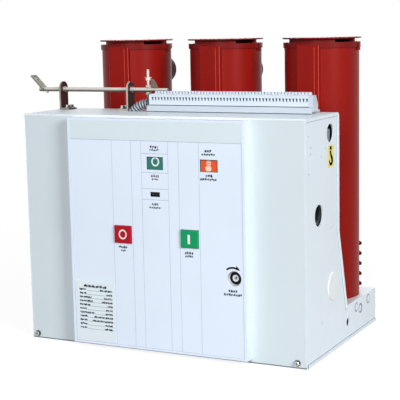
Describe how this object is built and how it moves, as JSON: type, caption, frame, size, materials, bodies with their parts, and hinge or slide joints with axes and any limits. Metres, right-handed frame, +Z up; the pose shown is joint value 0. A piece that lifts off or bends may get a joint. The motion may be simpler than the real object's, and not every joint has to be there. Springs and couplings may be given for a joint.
{
  "type": "indoor vacuum circuit breaker",
  "caption": "Indoor vacuum circuit breaker, fixed type: red insulating cylinders behind a pale sheet-metal mechanism box with a raised front panel.",
  "frame": {"origin": "centre of the base's footprint, on the surface that the breaker stands on", "axes": "+X right along the front, +Y from the front panel to the rear, +Z up"},
  "size_m": [0.6535, 0.458, 0.585],
  "materials": {
    "box_paint": "satin powder coat, pale grey",
    "panel_paint": "smooth powder coat, cool white",
    "header_film": "printed film, pale grey",
    "plate_metal": "ruled aluminium plate",
    "red_plastic": "moulded, red",
    "green_plastic": "moulded, green",
    "teal_plastic": "printed, dark green",
    "orange_plastic": "printed, orange",
    "black_plastic": "moulded, black",
    "zinc_steel": "zinc-plated, dull",
    "white_plastic": "moulded, white",
    "red_resin": "cast epoxy resin, brick red, semi-gloss",
    "plated_copper": "silver-plated copper",
    "strip_plastic": "moulded, off-white",
    "rail_metal": "folded sheet, pale",
    "stop_plastic": "moulded, pale grey",
    "end_plastic": "moulded, dark grey",
    "socket_metal": "pressed collar, grey",
    "grey_conduit": "corrugated, grey",
    "dark_zinc": "zinc-plated, reflecting dark",
    "black_ink": "printed, black",
    "yellow_film": "printed film, yellow"
  },
  "bodies": {
    "cabinet": {"front_plate": "box_paint", "left_side_plate": "box_paint", "right_side_plate": "box_paint", "top_plate": "box_paint", "rear_wall": "box_paint", "bottom_plate": "box_paint", "base_top_plate": "box_paint", "base_rear_rail": "box_paint", "front_panel": "panel_paint", "header_strip": "header_film", "rating_plate": "plate_metal", "position_indicator": "teal_plastic", "spring_indicator": "orange_plastic", "operation_counter": "black_plastic", "charging_collar": "socket_metal", "charging_bezel": "black_plastic", "left_plug": "white_plastic", "right_plug": "white_plastic", "left_cylinder": "red_resin", "middle_cylinder": "red_resin", "right_cylinder": "red_resin", "left_cap": "red_resin", "middle_cap": "red_resin", "right_cap": "red_resin", "left_upper_terminal": "plated_copper", "middle_upper_terminal": "plated_copper", "right_upper_terminal": "plated_copper", "left_lower_terminal": "plated_copper", "middle_lower_terminal": "plated_copper", "right_lower_terminal": "plated_copper", "terminal_blocks": "strip_plastic", "terminal_rail": "rail_metal", "left_end_stop": "end_plastic", "right_end_stop": "stop_plastic", "conduit": "grey_conduit", "left_bracket": "dark_zinc", "right_bracket": "dark_zinc"},
    "off_button_body": {"off_button": "red_plastic"},
    "on_button_body": {"on_button": "green_plastic"},
    "charging_body": {"charging_shaft": "zinc_steel"},
    "interlock_body": {"interlock_shaft": "zinc_steel", "interlock_lever": "zinc_steel", "trip_rod": "zinc_steel", "sector_plate": "dark_zinc"}
  },
  "joints": [
    {"name": "off_press", "type": "slide", "parent": "cabinet", "child": "off_button_body", "axis": [0, 1, 0], "range_m": [0, 0.005], "stiffness_N_per_m": 800, "springref_m": -0.004},
    {"name": "on_press", "type": "slide", "parent": "cabinet", "child": "on_button_body", "axis": [0, 1, 0], "range_m": [0, 0.005], "stiffness_N_per_m": 800, "springref_m": -0.004},
    {"name": "charging_turn", "type": "hinge", "parent": "cabinet", "child": "charging_body", "pos_m": [0.163, -0.2, 0.1597], "axis": [0, 1, 0], "continuous": true},
    {"name": "interlock_turn", "type": "hinge", "parent": "cabinet", "child": "interlock_body", "pos_m": [-0.2, -0.067, 0.489], "axis": [1, 0, 0], "range_deg": [-30, 30]}
  ]
}
